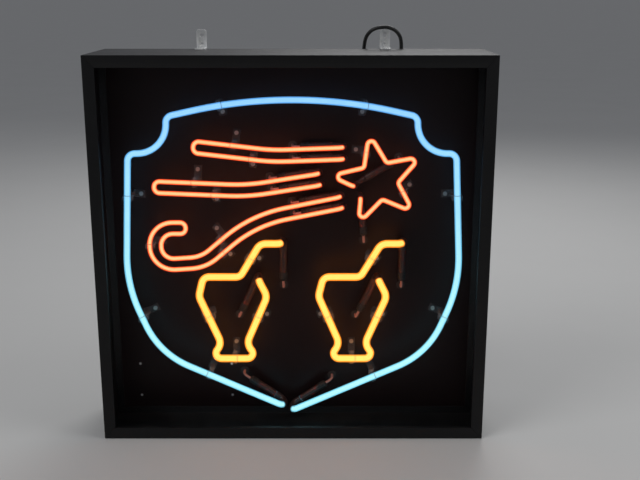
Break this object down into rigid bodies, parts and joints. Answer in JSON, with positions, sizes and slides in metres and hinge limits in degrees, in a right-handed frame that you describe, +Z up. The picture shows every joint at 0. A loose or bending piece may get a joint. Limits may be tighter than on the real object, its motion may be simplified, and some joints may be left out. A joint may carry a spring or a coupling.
{
  "type": "neon advertising sign",
  "caption": "Square black box sign with blue, orange and yellow neon tubes behind a clear front, two hanging brackets and a mains cord.",
  "frame": {"origin": "middle of the box's bottom face", "axes": "+Z up, the front faces -Y, +X to the right seen from the front"},
  "size_m": [0.6, 0.2535, 0.6364],
  "materials": {
    "frame": "satin black powder coat with a fine grain",
    "pane": "clear acrylic sheet, glossy",
    "black_sheet": "black sheet, semi-gloss",
    "strip": "black extruded strip, matt",
    "neon_blue": "lit neon glass, light blue",
    "neon_orange": "lit neon glass, orange-red",
    "neon_yellow": "lit neon glass, warm yellow",
    "painted_glass": "glass painted over in dark red-black",
    "rubber": "black silicone rubber, matt",
    "lead": "silicone high-voltage lead, pinkish",
    "red_lead": "silicone high-voltage lead, dark red",
    "ceramic": "glazed off-white",
    "clear_plastic": "clear moulded polycarbonate",
    "zinc": "bright zinc plate",
    "dark_screw": "dark zinc plate",
    "case": "dark grey paint",
    "block_plastic": "cream moulded nylon",
    "wire": "PVC insulation, brown",
    "earth_wire": "PVC insulation, green and yellow",
    "cover": "matt black paint",
    "switch_plastic": "black moulded nylon, semi-gloss",
    "cord": "black PVC, satin",
    "brass": "bare brass with light tarnish"
  },
  "bodies": {
    "sign": {"frame_top": "frame", "frame_bottom": "frame", "frame_left": "frame", "frame_right": "frame", "corner_angles": "zinc", "corner_screws": "zinc", "front_cover": "pane", "glazing_strips": "strip", "tube_panel": "black_sheet", "panel_screws": "dark_screw", "crest_tube": "neon_blue", "star_tube": "neon_orange", "streak_upper_tube": "neon_orange", "streak_middle_tube": "neon_orange", "streak_lower_tube": "neon_orange", "soda_left_tube": "neon_yellow", "soda_right_tube": "neon_yellow", "electrodes": "painted_glass", "electrode_boots": "rubber", "electrode_leads": "lead", "lead_bushings": "rubber", "tube_supports": "clear_plastic", "support_screws": "zinc", "transformer": "case", "transformer_screws": "zinc", "hv_terminals": "ceramic", "hv_leads": "red_lead", "series_leads": "red_lead", "terminal_block": "block_plastic", "mains_leads": "wire", "earth_stud": "zinc", "earth_lead": "earth_wire", "rear_cover": "cover", "rear_screws": "dark_screw", "switch_body": "switch_plastic", "cable_gland": "switch_plastic", "gland_nut": "switch_plastic", "hanger_left": "zinc", "hanger_right": "zinc", "hanger_screws": "zinc", "cord_boot": "cord", "power_cord": "cord", "cord_coil": "cord", "cord_tail": "cord", "plug_body": "cord", "plug_pins": "brass"},
    "rocker": {"switch_rocker": "switch_plastic"}
  },
  "joints": [
    {"name": "rocker_tilt", "type": "hinge", "parent": "sign", "child": "rocker", "pos_m": [0.06, 0.0675, 0.44], "axis": [1, 0, 0], "range_deg": [-20, 0]}
  ]
}
